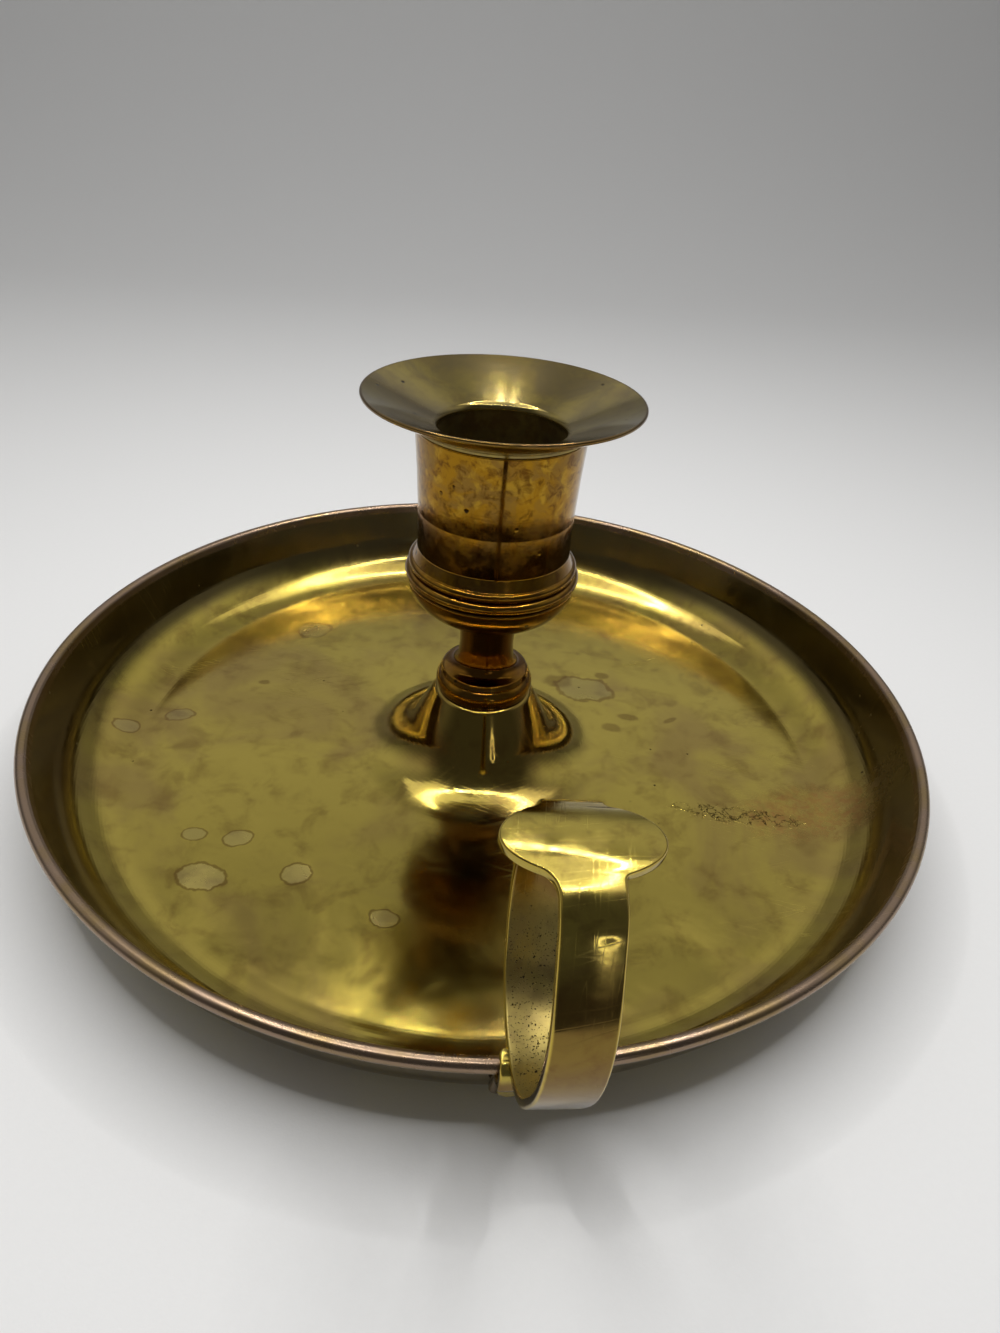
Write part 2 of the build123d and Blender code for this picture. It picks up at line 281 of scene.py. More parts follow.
def rounded(*corners):
    """Points of an outline through (across, up, radius) corners, each rounded by its radius."""
    points = []
    for index, (across, up, radius) in enumerate(corners):
        here = Vector((across, up))
        if radius == 0:
            points.append(here)
            continue
        before = (Vector(corners[index - 1][:2]) - here).normalized()
        after = (Vector(corners[(index + 1) % len(corners)][:2]) - here).normalized()
        half = before.angle(after) / 2
        centre = here + (before + after).normalized() * radius / sin(half)
        start = here + before * radius / tan(half) - centre
        end = here + after * radius / tan(half) - centre
        points += arc(centre, radius, atan2(start.y, start.x), turn_between(start, end))
    return points


def guarded(points, closed=True):
    """The same outline with extra points beside its corners and along its long straight runs."""
    result = []
    pairs = zip(points, points[1:] + points[:1]) if closed else zip(points, points[1:])
    for here, there in pairs:
        result.append(here)
        run = (there - here).length
        if run < 4 * guard:
            continue
        along = (there - here) / run
        result.append(here + along * guard)
        steps = ceil((run - 2 * guard) / longest_step)
        for step in range(1, steps):
            result.append(here + along * (guard + (run - 2 * guard) * step / steps))
        result.append(there - along * guard)
    if not closed:
        result.append(points[-1])
    return cleaned(result)


def cleaned(points):
    """The outline without points that lie on the one before them."""
    result = [points[0]]
    for point in points[1:]:
        if (point - result[-1]).length > same_place:
            result.append(point)
    return result


def thickened(middle, thickness):
    """Closed outline of a sheet along its middle line."""
    left, right = [], []
    for before, point, after in zip(middle[:1] + middle, middle, middle[1:] + middle[-1:]):
        along = (after - before).normalized()
        aside = Vector((-along.y, along.x)) * thickness / 2
        left.append(point + aside)
        right.append(point - aside)
    return left, right[::-1]


# Meshes


def added(name, data):
    """A new object in the scene."""
    made = bpy.data.objects.new(name, data)
    bpy.context.scene.collection.objects.link(made)
    return made


def piece(name, mesh, body, slot, material, *nodes):
    """Put a finished mesh in the scene, on its body, in place of these nodes of the frame."""
    made = added(name, mesh)
    mesh.materials.append(material)
    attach(made, body)
    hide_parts(*nodes)


def smooth_mesh(name, points, faces):
    """A closed mesh from points and faces, shaded smooth, its faces turned outwards."""
    mesh = bpy.data.meshes.new(name)
    mesh.from_pydata(points, [], faces)
    work = bmesh.new()
    work.from_mesh(mesh)
    bmesh.ops.recalc_face_normals(work, faces=work.faces)
    work.to_mesh(mesh)
    work.free()
    mesh.polygons.foreach_set("use_smooth", [True] * len(mesh.polygons))
    mesh.update()
    return mesh


def lathe(name, outline, segments, shift=None):
    """Turn an outline about the Z axis. Its first and last points may lie on the axis."""
    points, faces, rings = [], [], []
    for across, up in outline:
        around = segments if across > same_place else 1
        rings.append([len(points) + segment % around for segment in range(segments)])
        for turn in (2 * pi * segment / segments for segment in range(around)):
            points.append((across * cos(turn), across * sin(turn), up))
    closed = outline[0][0] > same_place
    for index, ring in enumerate(rings if closed else rings[:-1]):
        other = rings[(index + 1) % len(rings)]
        for segment in range(segments):
            following = (segment + 1) % segments
            corners = (ring[segment], other[segment], other[following], ring[following])
            faces.append(tuple(dict.fromkeys(corners)))
    if shift:
        points = [shift(Vector(point), index // segments) for index, point in enumerate(points)]
    return smooth_mesh(name, points, faces)


# Materials


class Output:
    """An output of a shader node. Sums and products with it add the nodes that make them."""

    def __init__(self, tree, socket):
        self.tree = tree
        self.socket = socket

    def math(self, operation, other=0.0, clamp=False):
        return node(self.tree, "ShaderNodeMath", {0: self, 1: other}, operation=operation, use_clamp=clamp)

    __add__ = partialmethod(math, "ADD")
    __sub__ = partialmethod(math, "SUBTRACT")
    __mul__ = partialmethod(math, "MULTIPLY")
    __or__ = partialmethod(math, "MAXIMUM")
    __abs__ = partialmethod(math, "ABSOLUTE")

    def band(self, low, high, start=0.0, end=1.0):
        """Smooth step from one value to another while this output goes from low to high."""
        feeds = {"Value": self, "From Min": low, "From Max": high, "To Min": start, "To Max": end}
        return node(self.tree, "ShaderNodeMapRange", feeds, interpolation_type="SMOOTHSTEP")


def highest(outputs):
    """The highest of several outputs."""
    return reduce(or_, outputs)


def feed(socket, value):
    """Link an output to a socket, or set the socket's own value."""
    if isinstance(value, Output):
        value.tree.links.new(value.socket, socket)
    elif socket.type == "RGBA":
        socket.default_value = (*value, 1)
    else:
        socket.default_value = value


def node(tree, kind, feeds=(), output=0, **choices):
    """An output of a new node with its choices made and its sockets fed."""
    made = tree.nodes.new(kind)
    for name, value in choices.items():
        setattr(made, name, value)
    for socket, value in dict(feeds).items():
        feed(made.inputs[socket], value)
    return Output(tree, made.outputs[output])


class Finish:
    """A material in the making: its colour so far and the coordinates that its patterns follow."""

    def __init__(self, name):
        self.material = bpy.data.materials.new(name)
        self.material.use_nodes = True
        self.tree = self.material.node_tree
        self.colour = None
        self.place = node(self.tree, "ShaderNodeTexCoord", output="Object")
        self.across, self.depth, self.up = (
            node(self.tree, "ShaderNodeSeparateXYZ", {0: self.place}, axis) for axis in "XYZ"
        )
        self.radius = (self.across.math("POWER", 2) + self.depth.math("POWER", 2)).math("SQRT")
        self.turn = self.depth.math("ARCTAN2", self.across)

    def point(self, across, depth, up):
        return node(self.tree, "ShaderNodeCombineXYZ", {0: across, 1: depth, 2: up})

    def moved(self, centre, turn, reach):
        """Coordinates about a centre, turned, in which the given reach is 1."""
        feeds = {0: self.place, 1: centre, 2: (0, 0, turn), 3: reach}
        return node(self.tree, "ShaderNodeMapping", feeds, vector_type="TEXTURE")

    def noise(self, scale, detail=3.0, roughness=0.5, distortion=0.0, place=None):
        """Cloudy noise. The scale is in clouds per metre."""
        feeds = {"Scale": scale, "Detail": detail, "Roughness": roughness, "Distortion": distortion}
        return node(self.tree, "ShaderNodeTexNoise", {"Vector": place or self.place, **feeds})

    def cells(self, scale):
        """Distance from the nearest of many scattered points, in cell sizes."""
        return node(self.tree, "ShaderNodeTexVoronoi", {"Vector": self.place, "Scale": scale}, "Distance")

    def attribute(self, name):
        """A value that the mesh has at each of its points."""
        return node(self.tree, "ShaderNodeAttribute", (), "Fac", attribute_name=name)

    def scratches(self, turn, spacing, stretch, width):
        """Fine straight scratches at one angle."""
        along = self.moved((0, 0, 0), turn, (stretch, 1, stretch))
        return abs(self.noise(1 / spacing, 1, place=along) - 0.5).band(width, 0)

    def turning_marks(self, scale, stretch=0.0006):
        """Fine marks that run around the axis, as a tool or a rag leaves them."""
        return self.noise(scale, 2, place=self.point(self.radius, self.up, self.turn * stretch))

    def far_from(self, mark, wobble):
        """Distance from the middle of a mark, 1 at its uneven edge."""
        across, depth, half_across, half_depth = (millimetre * part for part in mark[:4])
        about = self.moved((across, depth, 0), mark[4], (half_across, half_depth, 1))
        return node(self.tree, "ShaderNodeVectorMath", {0: about}, "Value", operation="LENGTH") + wobble

    def mix(self, factor, one, other, blend="MIX"):
        """Two colours mixed."""
        feeds = {0: factor, 6: one, 7: other}
        return node(self.tree, "ShaderNodeMix", feeds, 2, data_type="RGBA", blend_type=blend)

    def lay(self, tint, mask, blend="MIX"):
        """Lay a tint over the colour where the mask is high."""
        self.colour = self.mix(mask, self.colour, tint, blend)

    def bloom(self, brass, patch, fine):
        """Colour of old brass: olive, with brown bloom in large soft patches and finer clouds."""
        browned = self.noise(patch, 4, 0.55, 0.8).band(0.42, 0.68, 0, 0.65)
        self.colour = self.mix(browned, brass.olive, brass.brown)
        self.lay(brass.umber, self.noise(fine, 5, 0.6, 0.4).band(0.45, 0.75, 0, 0.45))

    def specks(self, brass, scale, size, spread):
        """Scattered small dark specks, thicker in some places than in others."""
        marks = self.cells(scale).band(size, size * 0.4) * self.noise(1 / spread, 2).band(0.5, 0.62)
        self.lay(brass.crust, marks)
        return marks

    def done(self, roughness, *bumps, metallic=1.0):
        """The finished material. Each bump is a pattern and the micrometres that it rises where it is high."""
        below = {}
        for height, microns in bumps:
            feeds = {"Height": height, "Distance": microns * micron, "Strength": 1.0, **below}
            below = {"Normal": node(self.tree, "ShaderNodeBump", feeds)}
        feeds = {"Base Color": self.colour, "Roughness": roughness, "Metallic": metallic, **below}
        for socket, value in feeds.items():
            feed(self.tree.nodes["Principled BSDF"].inputs[socket], value)
        return self.material


def shared(make):
    """The material that this function makes, made once and named after it."""
    name = "old_" + make.__name__
    return bpy.data.materials.get(name) or make(Finish(name), settings().brass)


# Marks on the pan's floor: across and depth of the middle and the half sizes, all in millimetres, then the turn
water_rings = (
    (-40.1, 47.1, 4.2, 3.6, 0.3),
    (-77, 5.3, 2.6, 2.2, 0),
    (-53.6, -38.4, 4.6, 3.2, -0.2),
    (-36.5, -38.3, 3, 2.6, 0.5),
    (-56.5, -27.6, 2.4, 1.7, 0),
    (-48.3, -28.8, 2.6, 2.1, 0.4),
    (-20.1, -49, 2.7, 2, -0.4),
    (-66.8, 10.1, 3.4, 2, 0.2),
    (27, 21.2, 7.2, 4.8, -0.2),
)
dark_spots = (
    (21.2, 24.5, 3.6, 3, 0.2),
    (33, 27, 1.9, 1.3, 0),
    (31.5, 5.8, 2.4, 1.7, -0.4),
    (36, 9.8, 2.6, 1.2, -0.3),
    (46, 8.5, 2, 0.7, 0.5),
    (-50, 23.2, 1.5, 1, 0),
)
stain = (69, -23.5, 19, 8.5, 0.1)
stain_crust = (53, -24, 15, 2.8, -0.2)


def pan_brass(finish, brass):
    """Polished old brass with spin marks, scratches, water rings and a brown stain, with painted shade on the wall
    and around the foot of the stem.
    """
    up, radius, wear = finish.up, finish.radius, brass.wear
    wobble = (finish.noise(260, 3, 0.6) - 0.5) * 0.9
    rings = [finish.far_from(mark, wobble) for mark in water_rings]
    outlines = highest([abs(far - 1).band(0.13, 0.03) for far in rings])
    inner = highest([far.band(1, 0.85) for far in rings])
    dark = highest([finish.far_from(mark, wobble).band(1.15, 0.7) for mark in dark_spots])
    browned = finish.far_from(stain, wobble).band(1.25, 0.45) * finish.noise(700, 4, 0.65).band(0.35, 0.65, 0.25, 1)
    vein = abs(finish.noise(420, 5, 0.7, 0.5) - 0.5).band(0.022, 0.008)
    crusted = vein * finish.far_from(stain_crust, wobble).band(1.1, 0.5)
    bead = up.band(0.0168, 0.0174) * radius.band(0.0868, 0.0876)
    # Painted shade: mask of the pan's wall, which is darkened
    wall = up.band(0.0035, 0.009) * radius.band(0.082, 0.084)
    rubbed = finish.noise(7, 4, 0.6, place=finish.point(finish.turn, up * 40, 0)).band(0.4, 0.6)

    finish.bloom(brass, 34, 150)
    finish.lay(brass.film, inner * (0.35 * wear))
    finish.lay(brass.umber, outlines * (0.75 * wear))
    finish.lay(brass.umber, dark * (0.6 * wear))
    finish.lay(brass.rust, browned * (0.85 * wear))
    finish.lay(brass.crust, crusted)
    pits = finish.specks(brass, 1 / 0.0055, 0.07, 0.03)
    # Painted shade on the pan's wall
    finish.lay(brass.dark_film_and_shade, wall * 0.85)
    # Painted shade: umber on the raised middle around the foot of the stem
    finish.lay(brass.umber, radius.band(0.021, 0.015, 0, 0.55))
    finish.lay(finish.mix(rubbed * 0.6, brass.copper, brass.brown), bead * 0.8)

    scratched = finish.scratches(0.25, 0.003, 30, 0.008) | finish.scratches(-0.4, 0.004, 36, 0.006)
    scratched = scratched * finish.noise(24, 2).band(0.48, 0.62)
    spun, waves = finish.turning_marks(2600, 0.0004), finish.noise(110)
    dull = finish.noise(45, 5, 0.6, 1).band(0.35, 0.75, 0, 0.12) + radius.band(0.018, 0.026, -0.03, 0.02)
    dull = dull + brass.polish + scratched * 0.1 + (inner | dark) * 0.1 + browned * 0.3 + bead * 0.12
    dull = dull.math("ADD", (crusted | pits) * 0.5, clamp=True)
    return finish.done(dull, (spun, 1.2), (waves, 30), (scratched, -3), (crusted | browned * 0.15, 80))


def turned_brass(finish, brass):
    """Old turned brass, mottled golden brown, with fine marks around, and painted shade low down and on the neck.
    """
    mottle = finish.noise(430, 5, 0.7, 0.6).band(0.46, 0.68, 0, 0.85)
    # Painted shade: umber laid over the turned pieces, growing stronger towards the bottom
    low = finish.up.band(0.064, 0.036, 0.3, 0.65)
    # Painted shade on the waisted neck under the bowl
    neck = finish.up.band(0.0215, 0.0235) * finish.up.band(0.037, 0.034)
    finish.colour = finish.mix(finish.noise(150, 5, 0.6, 0.9).band(0.4, 0.6), brass.brown, brass.amber)
    finish.lay(brass.gold, finish.noise(210, 4, 0.6, 1.2).band(0.52, 0.68, 0, 0.8))
    # Real mottle, then painted shade low down and on the neck
    for mask in (mottle, low, neck * 0.8):
        finish.lay(brass.umber, mask)
    finish.lay(brass.warm, 1.0, "MULTIPLY")
    pits = finish.specks(brass, 1 / 0.0035, 0.16, 0.012)
    dull = finish.noise(140, 4, 0.6).band(0.35, 0.7, 0, 0.1) + (brass.polish - 0.03) + mottle * 0.12
    return finish.done(dull, (finish.turning_marks(3200), 1.2), (finish.noise(260), 14), (pits, -30))


def nozzle_brass(finish, brass):
    """Old brass, dull with a grey-brown film in the funnel, darker and rougher inside the throat."""
    film = finish.noise(95, 5, 0.65, 0.6).band(0.35, 0.65, 0.5, 0.95)
    deep = finish.up.band(0.0735, 0.0715)
    finish.bloom(brass, 60, 300)
    finish.lay(brass.dark_film_and_shade, film)
    finish.lay(brass.umber, finish.radius.band(0.0246, 0.0251) * 0.7)
    finish.lay(brass.umber, deep * finish.noise(320, 4, 0.6).band(0.4, 0.6, 0, 0.45))
    pits = finish.specks(brass, 1 / 0.0045, 0.12, 0.012)
    dull = film * 0.05 + brass.polish + deep * 0.3
    return finish.done(dull, (finish.turning_marks(3000), 1), (finish.noise(240), 6), (pits, -30))


def strap_brass(finish, brass):
    """Worn strap brass: bright on its edges, dull and pitted low inside it, with painted shade on the top of its
    inner face and on the lug, and a painted dark reflection half way up its outer face.
    """
    up = finish.up
    edge, inside = finish.attribute("edge"), finish.attribute("inside")
    # high is painted shade on the top of the loop's inner face, under the thumb plate; low and lowest mark its
    # dull, pitted bottom
    low, lowest, high = (inside * up.band(*reach) for reach in ((0.037, 0.03), (0.034, 0.026), (0.029, 0.037)))
    pits = finish.noise(3500, 2).band(0.62, 0.67) * lowest | finish.noise(1300, 3, 0.6).band(0.65, 0.69) * low
    # Painted reflection of the dark room in front: the loop's outer face is darkened half way up, less on its worn
    # edges
    outside = inside.band(0.5, 0) * finish.depth.band(-0.095, -0.098)
    half_way = up.band(0.024, 0.031) * up.band(0.054, 0.048)
    dark = outside * half_way * (edge * -1 + 0.7)
    # Painted shade on the lug under the rim
    lug = up.band(0.0195, 0.018, 0, 0.75)

    finish.bloom(brass, 90, 420)
    finish.lay(brass.gold, edge * finish.noise(380, 4, 0.6).band(0.3, 0.55, 0.2, 0.9))
    finish.lay(brass.dark_film_and_shade, low * 0.6)
    # Painted shade on the top of the inner face
    finish.lay(brass.umber, high * 0.8)
    # Painted reflection on the outer face and painted shade on the lug
    finish.lay(brass.umber, dark | lug)
    finish.lay(brass.crust, pits)

    rubbed = finish.scratches(0.1, 0.0012, 14, 0.02) | finish.scratches(1.4, 0.0015, 16, 0.016)
    dull = finish.noise(170, 4).band(0.35, 0.7, 0, 0.12) + brass.polish + low * 0.25 + rubbed * 0.08
    dull = dull.math("ADD", pits * 0.4, clamp=True)
    return finish.done(dull, (finish.noise(210), 25), (rubbed, -2), (pits, -40))


def rivet_brass(finish, brass):
    """Dull brass of the two rivets, flattened by the hammer."""
    finish.bloom(brass, 500, 1600)
    dull = finish.noise(900).band(0.3, 0.7, 0.25, 0.5)
    return finish.done(dull, (finish.cells(1500), 50), (finish.noise(4000), 6))


def old_iron(finish, brass, rust, grain):
    """Dull iron with some rust."""
    patches = finish.noise(grain, 5, 0.65).band(0.5 - rust / 2, 0.8 - rust / 2)
    finish.colour = finish.mix(finish.noise(grain * 5, 4, 0.6).band(0.3, 0.7, 0, 0.5), brass.iron, brass.crust)
    finish.lay(brass.rust, patches)
    return finish.done(patches.band(0, 1, 0.38, 0.8), (finish.noise(grain * 8, 4, 0.6), 10), (patches, 30))


def paper_white(stage):
    """Matt pale paper of the floor and the backdrop."""
    finish = Finish("paper")
    shade = finish.noise(900, 4, 0.6).band(0.3, 0.7, 0, 0.05)
    finish.colour = finish.mix(shade, stage.paper, [0.8 * part for part in stage.paper])
    return finish.done(0.7, (finish.noise(2500), 20), metallic=0.0)


# Pieces


class ChamberstickOperator(bpy.types.Operator):
    """What the operators of the chamberstick share."""

    bl_options = {"REGISTER", "UNDO"}


def pan_middle(pan):
    """Middle line of the pan's sheet, from the rod's hole out to the end of the rolled edge."""
    half = pan.sheet / 2
    bead = pan.wire + pan.wire_gap + pan.sheet
    bead_across = pan.rim - bead
    roll = bead - half
    roll_start = pi / 2 + pan.wall_slope
    start_across = bead_across + roll * cos(roll_start)
    start_up = pan.rim_height + roll * sin(roll_start)
    wall_base = start_across - (start_up - half) / tan(pan.wall_slope)
    top = pan.trumpet_height - half
    sheet = rounded(
        (pan.hole, top, 0),
        (pan.trumpet_top, top, pan.trumpet_crown),
        (pan.trumpet_foot, half, pan.trumpet_flare),
        (wall_base, half, pan.wall_bend),
        (start_across, start_up, 0),
    )
    return guarded(sheet, closed=False)[:-1] + arc((bead_across, pan.rim_height), roll, roll_start, -pan.rim_roll)


class CHAMBERSTICK_OT_pan(ChamberstickOperator):
    """Spin the drip pan with its raised middle and its edge rolled over a wire"""

    bl_idname = "chamberstick.pan"
    bl_label = "Drip pan"

    def execute(self, context):
        pan = settings().pan
        upper, lower = thickened(pan_middle(pan), pan.sheet)
        rim_start = pan.rim - 2 * (pan.wire + pan.wire_gap + pan.sheet)

        def waves(point, ring):
            away = hypot(point.x, point.y)
            flat = min(1, max(0, (rim_start - away) / pan.rim_height))
            slow = noise.noise(point * 30) + 0.3 * noise.noise(point * 85)
            if ring < len(upper):
                point.z += pan.waves * slow * flat
            return point

        mesh = lathe("spun_pan", upper + lower, pan.segments, waves)
        piece("spun_pan", mesh, "root", "pan_brass", shared(pan_brass), "drip_pan")
        return {"FINISHED"}


class CHAMBERSTICK_OT_knop(ChamberstickOperator):
    """Turn the knop with its bead, collar and waisted neck"""

    bl_idname = "chamberstick.knop"
    bl_label = "Neck and knop"

    def execute(self, context):
        pan, stem = settings().pan, settings().stem
        foot = pan.trumpet_height
        top = foot + stem.height
        bead_top = foot + stem.knop_height
        collar_up = bead_top + stem.collar_height / 2
        cove = Vector((stem.collar - stem.collar_height / 2, collar_up + stem.collar_height))
        waist = Vector((stem.neck, foot + stem.neck_height))
        head = Vector((stem.top, top))
        sweep = (waist - cove).length / 2
        rise = (head - waist).length / 3
        leaning = Vector((-0.08, 1))
        lower = interpolate_bezier(cove, cove + Vector((-1, 0.15)) * sweep, waist - leaning * sweep, waist, 18)
        upper = interpolate_bezier(waist, waist + leaning * rise, head - Vector((0.05, 1)) * rise, head, 14)
        bead = arc_through(
            (stem.knop - stem.groove / 2, foot),
            (stem.knop, foot + stem.knop_height / 2),
            (stem.knop - stem.groove, bead_top),
        )
        collar = rounded((stem.knop - stem.groove, bead_top, 0), (stem.collar, collar_up, 0.00015), (*cove, 0))
        outline = [Vector((pan.hole, foot))] + bead + collar[1:-1] + lower + upper[1:] + [Vector((pan.hole, top))]
        mesh = lathe("turned_knop", guarded(cleaned(outline)), knop_steps)
        piece("turned_knop", mesh, "root", "turned_brass", shared(turned_brass), "stem_knop")
        return {"FINISHED"}


def cup_heights():
    """Heights of the cup's base and of the tops of its bowl, two beads, foot and barrel."""
    pan, stem, cup = settings().pan, settings().stem, settings().cup
    parts = (cup.bowl_height, cup.wide_band_height, cup.small_band_height, cup.foot_height, cup.barrel_height)
    return list(accumulate(parts, initial=pan.trumpet_height + stem.height))


class CHAMBERSTICK_OT_cup(ChamberstickOperator):
    """Turn the candle cup with its round bowl, two beads and plain barrel"""

    bl_idname = "chamberstick.cup"
    bl_label = "Candle cup"

    def execute(self, context):
        pan, stem, cup = settings().pan, settings().stem, settings().cup
        base, bowl_top, wide_top, small_top, foot, top = cup_heights()
        floor = base + cup.floor
        wide_groove = cup.bowl - cup.band_groove
        small_groove = cup.small_band - cup.band_groove
        cover = floor - cup.end_cover
        outline = [Vector(place) for place in ((0, cover), (pan.hole, cover), (pan.hole, base))]
        bowl = Vector((cup.bowl - stem.top, cup.bowl_height))
        outline += [Vector((stem.top, bowl_top)) + bowl * point for point in arc((0, 0), 1, -pi / 2, pi / 2)]
        outline += arc_through(
            (wide_groove, bowl_top + cup.band_groove / 2),
            (cup.wide_band, bowl_top + cup.wide_band_height / 2),
            (small_groove, wide_top),
        )
        outline += arc_through(
            (small_groove, wide_top),
            (cup.small_band, wide_top + cup.small_band_height / 2),
            (small_groove, small_top),
        )
        outline += arc_through((cup.foot, foot), (cup.barrel, foot + cup.barrel_height / 2), (cup.lip, top))[:-1]
        outline += rounded(
            (cup.lip, top, soft), (cup.bore, top, 0.0003), (cup.bore, floor, cup.floor_round), (0, floor, 0)
        )
        mesh = lathe("turned_cup", guarded(cleaned(outline), closed=False), cup_steps)
        piece("turned_cup", mesh, "root", "turned_brass", shared(turned_brass), "candle_cup")
        return {"FINISHED"}


class CHAMBERSTICK_OT_nozzle(ChamberstickOperator):
    """Turn the loose nozzle with its flared rim, funnel and sleeve"""

    bl_idname = "chamberstick.nozzle"
    bl_label = "Lift-out nozzle"

    def execute(self, context):
        cup, nozzle = settings().cup, settings().nozzle
        seat = cup_heights()[-1] + nozzle.seat_gap
        top = seat + nozzle.rim_height
        sleeve = nozzle.candle + nozzle.sleeve
        outline = rounded(
            (nozzle.candle, seat - nozzle.sleeve_length, soft),
            (sleeve, seat - nozzle.sleeve_length, soft),
            (sleeve, seat, crisp),
            (cup.lip, seat, crisp),
            (cup.lip, seat + nozzle.lip, crisp),
            (nozzle.rim, top - nozzle.edge, nozzle.edge * 0.4),
            (nozzle.rim, top, nozzle.edge * 0.4),
            (nozzle.candle, seat + nozzle.root, nozzle.throat),
        )
        mesh = lathe("flared_nozzle", guarded(cleaned(outline)), nozzle_steps)
        piece("flared_nozzle", mesh, "nozzle", "nozzle_brass", shared(nozzle_brass), "nozzle")
        return {"FINISHED"}


def resampled(points, step, closed):
    """Points spaced evenly along a line."""
    line = points + points[:1] if closed else points
    runs = [(after - before).length for before, after in zip(line, line[1:])]
    count = ceil(sum(runs) / step)
    spacing = sum(runs) / count
    result, index, passed = [], 0, 0.0
    for number in range(count if closed else count + 1):
        target = min(number * spacing, sum(runs))
        while index < len(runs) - 1 and passed + runs[index] < target:
            passed += runs[index]
            index += 1
        result.append(line[index].lerp(line[index + 1], (target - passed) / runs[index]))
    return result


def shoulder(half_across, half_along, plain, radius):
    """Where a round shoulder meets the oval and where it meets the strap's edge."""
    low, high = 0.0, pi / 2
    for _ in range(40):
        turn = (low + high) / 2
        outwards = Vector((cos(turn) / half_across, sin(turn) / half_along)).normalized()
        meets = Vector((half_across * cos(turn), half_along * sin(turn)))
        centre = meets + outwards * radius
        if centre.x > plain + radius:
            low = turn
        else:
            high = turn
    return meets, centre


def plate_reach(loop, out, radius):
    """How far the strap reaches sideways at this distance out, thumb plate and shoulder included."""
    half_across, half_along, plain = loop.plate / 2, loop.plate_length / 2, loop.width / 2
    along = abs(out + loop.plate_inset)
    meets, centre = shoulder(half_across, half_along, plain, radius)
    if along < meets.y:
        return half_across * sqrt(1 - (along / half_along) ** 2)
    if along < centre.y:
        return centre.x - sqrt(radius**2 - (centre.y - along) ** 2)
    return plain


def eased(points, reach):
    """A closed line with its bends eased into each other over this many points on each side."""
    count = len(points)
    return [
        sum((points[(index + step) % count] for step in range(-reach, reach + 1)), Vector((0, 0)))
        / (2 * reach + 1)
        for index in range(count)
    ]


def strap_mesh(name, path, sides, loop, thickness, closed):
    """Strap along a path in the loop's plane, with its own reach to the left and right at each point."""
    pan = settings().pan
    bead = pan.wire + pan.wire_gap + pan.sheet
    foot = Vector((0, bead - pan.rim, pan.rim_height + bead + loop.seat_gap))
    outwards = Vector((0, -1, 0))
    aside = Vector((cos(loop.lean), 0, -sin(loop.lean)))
    upwards = Vector((sin(loop.lean), 0, cos(loop.lean)))
    half, edge = thickness / 2, loop.edge
    corner = [(1 - cos(turn), 1 - sin(turn)) for turn in (0, pi / 8, pi / 4, 3 * pi / 8, pi / 2)]
    points, faces, edges, insides = [], [], [], []
    count = len(path)
    for index, place in enumerate(path):
        before = path[index - 1] if closed or index > 0 else place
        after = path[(index + 1) % count] if closed or index < count - 1 else place
        along = (after - before).normalized()
        normal = Vector((-along.y, along.x))
        left, right = sides[index]
        section = (
            (right, 1, 1, corner),
            (-left, -1, 1, corner[::-1]),
            (-left, -1, -1, corner),
            (right, 1, -1, corner[::-1]),
        )
        for reach, side, face, steps in section:
            for inwards, down in steps:
                sideways = reach - side * edge * inwards
                height = face * (half - edge * down)
                flat = place + normal * height
                points.append(foot + outwards * flat.x + upwards * flat.y + aside * sideways)
                edges.append(1 - abs(inwards - down))
                insides.append(1.0 if height < -half * 0.9 else 0.0)
    ring = len(points) // count
    for index in range(count if closed else count - 1):
        here, there = index * ring, (index + 1) % count * ring
        for corner_index in range(ring):
            following = (corner_index + 1) % ring
            faces.append((here + corner_index, there + corner_index, there + following, here + following))
    if not closed:
        faces.append(tuple(range(ring)))
        faces.append(tuple(range(len(points) - ring, len(points))))
    mesh = smooth_mesh(name, points, faces)
    for label, values in (("edge", edges), ("inside", insides)):
        mesh.attributes.new(label, "FLOAT", "POINT").data.foreach_set("value", values)
    return mesh


class CHAMBERSTICK_OT_loop(ChamberstickOperator):
    """Bend the finger loop with its oval thumb plate"""

    bl_idname = "chamberstick.loop"
    bl_label = "Finger loop"

    def execute(self, context):
        loop = settings().loop
        low = loop.strap / 2
        high = low + loop.height
        corners = [
            (loop.bottom / 2 - loop.inset, low, loop.bottom_bend),
            (loop.waist - loop.inset, loop.waist_height, loop.waist_bend),
            (loop.top / 2 - loop.inset, high, loop.top_bend),
            (-loop.top / 2 - loop.inset, high, loop.top_bend),
            (-loop.waist - loop.inset, loop.waist_height, loop.waist_bend),
            (-loop.bottom / 2 - loop.inset, low, loop.bottom_bend),
        ]
        path = eased(resampled(rounded(*corners)[::-1], 0.00015, closed=True), 9)
        bends = (loop.soft, loop.sharp)
        sides = [
            [plate_reach(loop, place.x, bend) if place.y > loop.waist_height else loop.width / 2 for bend in bends]
            for place in path
        ]
        mesh = strap_mesh("finger_loop", path, sides, loop, loop.strap, closed=True)
        piece("finger_loop", mesh, "root", "strap_brass", shared(strap_brass), "handle_loop")
        return {"FINISHED"}


